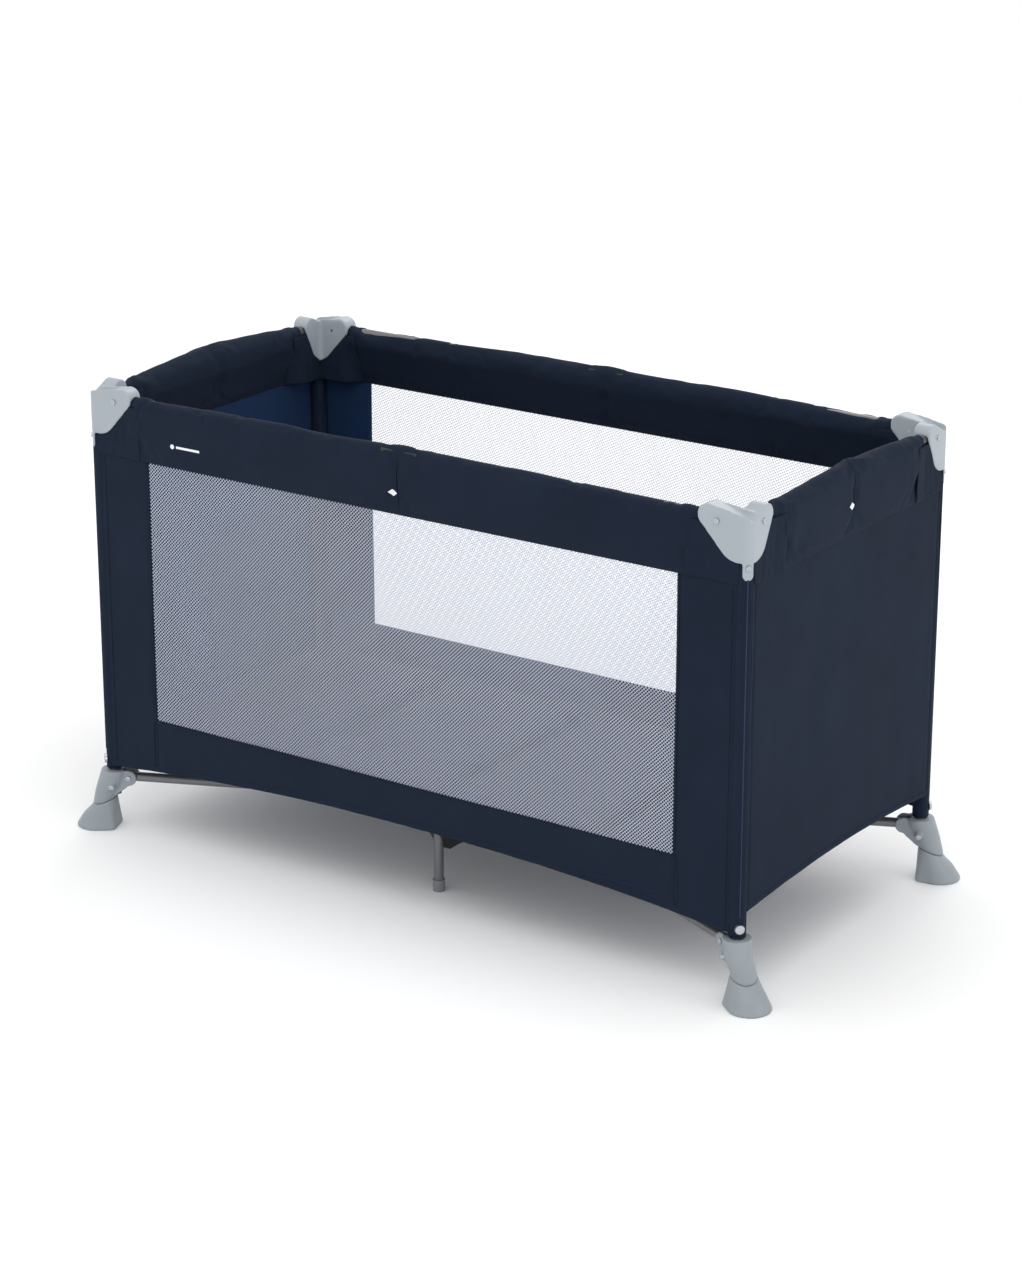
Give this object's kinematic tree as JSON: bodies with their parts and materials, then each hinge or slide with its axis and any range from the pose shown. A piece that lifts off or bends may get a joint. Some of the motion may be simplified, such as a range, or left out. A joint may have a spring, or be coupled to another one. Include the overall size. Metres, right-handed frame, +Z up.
{
  "type": "folding travel cot playpen",
  "caption": "Rectangular folding travel cot with net windows, padded folding top rails, plastic corner caps and feet, and a central folding base.",
  "frame": {"origin": "centre of the bounding box's bottom face, on the floor between the feet", "axes": "+X along the long side, +Y along the short side towards the back, +Z up"},
  "size_m": [1.355, 0.695, 0.78],
  "materials": {
    "dark_tube": "powder-coated steel tube",
    "grey_tube": "powder-coated steel tube, warm grey",
    "cap_plastic": "moulded plastic, light grey",
    "foot_plastic": "moulded plastic, mid grey",
    "boot_rubber": "moulded plastic, mid grey",
    "bright_steel": "zinc-plated steel",
    "lock_plastic": "moulded nylon, near black",
    "button_plastic": "moulded nylon, grey",
    "navy_fabric": "woven polyester, navy",
    "net_fabric": "knitted polyester net, pale blue-grey",
    "leg_cap_rubber": "rubber, grey",
    "floor_fabric": "woven polyester, navy",
    "mattress_fabric": "padded polyester, navy"
  },
  "bodies": {
    "hub": {"hub": "lock_plastic", "hub_pins": "bright_steel", "centre_legs": "grey_tube", "centre_leg_caps": "leg_cap_rubber"},
    "arm_fl": {"base_arm_fl": "grey_tube"},
    "post_fl": {"post_fl": "dark_tube", "corner_cap_fl": "cap_plastic", "corner_fasteners_fl": "bright_steel", "foot_bracket_fl": "foot_plastic", "foot_boot_fl": "boot_rubber", "wall_front": "navy_fabric", "net_window_front": "net_fabric", "wall_left": "navy_fabric"},
    "long_rail_fl": {"long_rail_fl": "dark_tube"},
    "short_rail_fl": {"short_rail_fl": "dark_tube"},
    "arm_fr": {"base_arm_fr": "grey_tube"},
    "post_fr": {"post_fr": "dark_tube", "corner_cap_fr": "cap_plastic", "corner_fasteners_fr": "bright_steel", "foot_bracket_fr": "foot_plastic", "foot_boot_fr": "boot_rubber"},
    "long_rail_fr": {"long_rail_fr": "dark_tube"},
    "short_rail_fr": {"short_rail_fr": "dark_tube"},
    "arm_bl": {"base_arm_bl": "grey_tube"},
    "post_bl": {"post_bl": "dark_tube", "corner_cap_bl": "cap_plastic", "corner_fasteners_bl": "bright_steel", "foot_bracket_bl": "foot_plastic", "foot_boot_bl": "boot_rubber"},
    "long_rail_bl": {"long_rail_bl": "dark_tube"},
    "short_rail_bl": {"short_rail_bl": "dark_tube"},
    "arm_br": {"base_arm_br": "grey_tube"},
    "post_br": {"post_br": "dark_tube", "corner_cap_br": "cap_plastic", "corner_fasteners_br": "bright_steel", "foot_bracket_br": "foot_plastic", "foot_boot_br": "boot_rubber", "wall_back": "navy_fabric", "net_window_back": "net_fabric", "wall_right": "navy_fabric"},
    "long_rail_br": {"long_rail_br": "dark_tube"},
    "short_rail_br": {"short_rail_br": "dark_tube"},
    "lock_front": {"lock_housing_front": "lock_plastic", "lock_pins_front": "bright_steel", "rail_cover_front": "navy_fabric"},
    "button_front": {"lock_button_front": "button_plastic"},
    "lock_back": {"lock_housing_back": "lock_plastic", "lock_pins_back": "bright_steel", "rail_cover_back": "navy_fabric"},
    "button_back": {"lock_button_back": "button_plastic"},
    "lock_left": {"lock_housing_left": "lock_plastic", "lock_pins_left": "bright_steel", "rail_cover_left": "navy_fabric"},
    "button_left": {"lock_button_left": "button_plastic"},
    "lock_right": {"lock_housing_right": "lock_plastic", "lock_pins_right": "bright_steel", "rail_cover_right": "navy_fabric"},
    "button_right": {"lock_button_right": "button_plastic"},
    "bedding": {"mattress": "mattress_fabric", "floor_cloth": "floor_fabric"}
  },
  "joints": [
    {"name": "fold", "type": "hinge", "parent": "hub", "child": "arm_fl", "pos_m": [-0.03828, -0.03236, 0.092], "axis": [0.4092, -0.9124, 0], "range_deg": [0, 80], "deforming": ["wall_front", "wall_back", "wall_left", "wall_right", "net_window_front", "net_window_back", "rail_cover_front", "rail_cover_back", "rail_cover_left", "rail_cover_right", "floor_cloth", "mattress"]},
    {"name": "arm_fold_fr", "type": "hinge", "parent": "hub", "child": "arm_fr", "pos_m": [0.03828, -0.03236, 0.092], "axis": [0.4092, 0.9124, 0], "range_deg": [0, 80]},
    {"name": "arm_fold_bl", "type": "hinge", "parent": "hub", "child": "arm_bl", "pos_m": [-0.03828, 0.03236, 0.092], "axis": [-0.4092, -0.9124, 0], "range_deg": [0, 80]},
    {"name": "arm_fold_br", "type": "hinge", "parent": "hub", "child": "arm_br", "pos_m": [0.03828, 0.03236, 0.092], "axis": [-0.4092, 0.9124, 0], "range_deg": [0, 80]},
    {"name": "foot_pivot_fl", "type": "hinge", "parent": "arm_fl", "child": "post_fl", "pos_m": [-0.59128, -0.28036, 0.092], "axis": [-0.4092, 0.9124, 0], "range_deg": [0, 80]},
    {"name": "long_rail_fold_fl", "type": "hinge", "parent": "post_fl", "child": "long_rail_fl", "pos_m": [-0.573, -0.291, 0.757], "axis": [0, 1, 0], "range_deg": [0, 80]},
    {"name": "short_rail_fold_fl", "type": "hinge", "parent": "post_fl", "child": "short_rail_fl", "pos_m": [-0.615, -0.268, 0.757], "axis": [-1, 0, 0], "range_deg": [0, 80]},
    {"name": "foot_pivot_fr", "type": "hinge", "parent": "arm_fr", "child": "post_fr", "pos_m": [0.59128, -0.28036, 0.092], "axis": [-0.4092, -0.9124, 0], "range_deg": [0, 80]},
    {"name": "long_rail_fold_fr", "type": "hinge", "parent": "post_fr", "child": "long_rail_fr", "pos_m": [0.573, -0.291, 0.757], "axis": [0, -1, 0], "range_deg": [0, 80]},
    {"name": "short_rail_fold_fr", "type": "hinge", "parent": "post_fr", "child": "short_rail_fr", "pos_m": [0.615, -0.268, 0.757], "axis": [-1, 0, 0], "range_deg": [0, 80]},
    {"name": "foot_pivot_bl", "type": "hinge", "parent": "arm_bl", "child": "post_bl", "pos_m": [-0.59128, 0.28036, 0.092], "axis": [0.4092, 0.9124, 0], "range_deg": [0, 80]},
    {"name": "long_rail_fold_bl", "type": "hinge", "parent": "post_bl", "child": "long_rail_bl", "pos_m": [-0.573, 0.291, 0.757], "axis": [0, 1, 0], "range_deg": [0, 80]},
    {"name": "short_rail_fold_bl", "type": "hinge", "parent": "post_bl", "child": "short_rail_bl", "pos_m": [-0.615, 0.268, 0.757], "axis": [1, 0, 0], "range_deg": [0, 80]},
    {"name": "foot_pivot_br", "type": "hinge", "parent": "arm_br", "child": "post_br", "pos_m": [0.59128, 0.28036, 0.092], "axis": [0.4092, -0.9124, 0], "range_deg": [0, 80]},
    {"name": "long_rail_fold_br", "type": "hinge", "parent": "post_br", "child": "long_rail_br", "pos_m": [0.573, 0.291, 0.757], "axis": [0, -1, 0], "range_deg": [0, 80]},
    {"name": "short_rail_fold_br", "type": "hinge", "parent": "post_br", "child": "short_rail_br", "pos_m": [0.615, 0.268, 0.757], "axis": [1, 0, 0], "range_deg": [0, 80]},
    {"name": "lock_level_front", "type": "hinge", "parent": "long_rail_fl", "child": "lock_front", "pos_m": [-0.02, -0.291, 0.757], "axis": [0, -1, 0], "range_deg": [0, 80]},
    {"name": "lock_level_back", "type": "hinge", "parent": "long_rail_br", "child": "lock_back", "pos_m": [0.02, 0.291, 0.757], "axis": [0, 1, 0], "range_deg": [0, 80]},
    {"name": "lock_level_left", "type": "hinge", "parent": "short_rail_fl", "child": "lock_left", "pos_m": [-0.615, -0.02, 0.757], "axis": [1, 0, 0], "range_deg": [0, 80]},
    {"name": "lock_level_right", "type": "hinge", "parent": "short_rail_br", "child": "lock_right", "pos_m": [0.615, 0.02, 0.757], "axis": [-1, 0, 0], "range_deg": [0, 80]},
    {"name": "lock_button_front", "type": "slide", "parent": "lock_front", "child": "button_front", "axis": [0, 0, 1], "range_m": [0, 0.005], "stiffness_N_per_m": 300, "springref_m": -0.003},
    {"name": "lock_button_back", "type": "slide", "parent": "lock_back", "child": "button_back", "axis": [0, 0, 1], "range_m": [0, 0.005], "stiffness_N_per_m": 300, "springref_m": -0.003},
    {"name": "lock_button_left", "type": "slide", "parent": "lock_left", "child": "button_left", "axis": [0, 0, 1], "range_m": [0, 0.005], "stiffness_N_per_m": 300, "springref_m": -0.003},
    {"name": "lock_button_right", "type": "slide", "parent": "lock_right", "child": "button_right", "axis": [0, 0, 1], "range_m": [0, 0.005], "stiffness_N_per_m": 300, "springref_m": -0.003},
    {"name": "mattress_lift", "type": "slide", "parent": "hub", "child": "bedding", "axis": [0, 0, 1], "range_m": [0, 0.045]}
  ],
  "couplings": [
    {"joint": "arm_fold_fr", "follows": "fold", "ratio": 1},
    {"joint": "arm_fold_bl", "follows": "fold", "ratio": 1},
    {"joint": "arm_fold_br", "follows": "fold", "ratio": 1},
    {"joint": "foot_pivot_fl", "follows": "fold", "ratio": 1},
    {"joint": "long_rail_fold_fl", "follows": "fold", "ratio": 1},
    {"joint": "short_rail_fold_fl", "follows": "fold", "ratio": 1},
    {"joint": "foot_pivot_fr", "follows": "fold", "ratio": 1},
    {"joint": "long_rail_fold_fr", "follows": "fold", "ratio": 1},
    {"joint": "short_rail_fold_fr", "follows": "fold", "ratio": 1},
    {"joint": "foot_pivot_bl", "follows": "fold", "ratio": 1},
    {"joint": "long_rail_fold_bl", "follows": "fold", "ratio": 1},
    {"joint": "short_rail_fold_bl", "follows": "fold", "ratio": 1},
    {"joint": "foot_pivot_br", "follows": "fold", "ratio": 1},
    {"joint": "long_rail_fold_br", "follows": "fold", "ratio": 1},
    {"joint": "short_rail_fold_br", "follows": "fold", "ratio": 1},
    {"joint": "lock_level_front", "follows": "fold", "ratio": 1},
    {"joint": "lock_level_back", "follows": "fold", "ratio": 1},
    {"joint": "lock_level_left", "follows": "fold", "ratio": 1},
    {"joint": "lock_level_right", "follows": "fold", "ratio": 1},
    {"joint": "mattress_lift", "follows": "fold", "m_per_rad": 0.032}
  ]
}
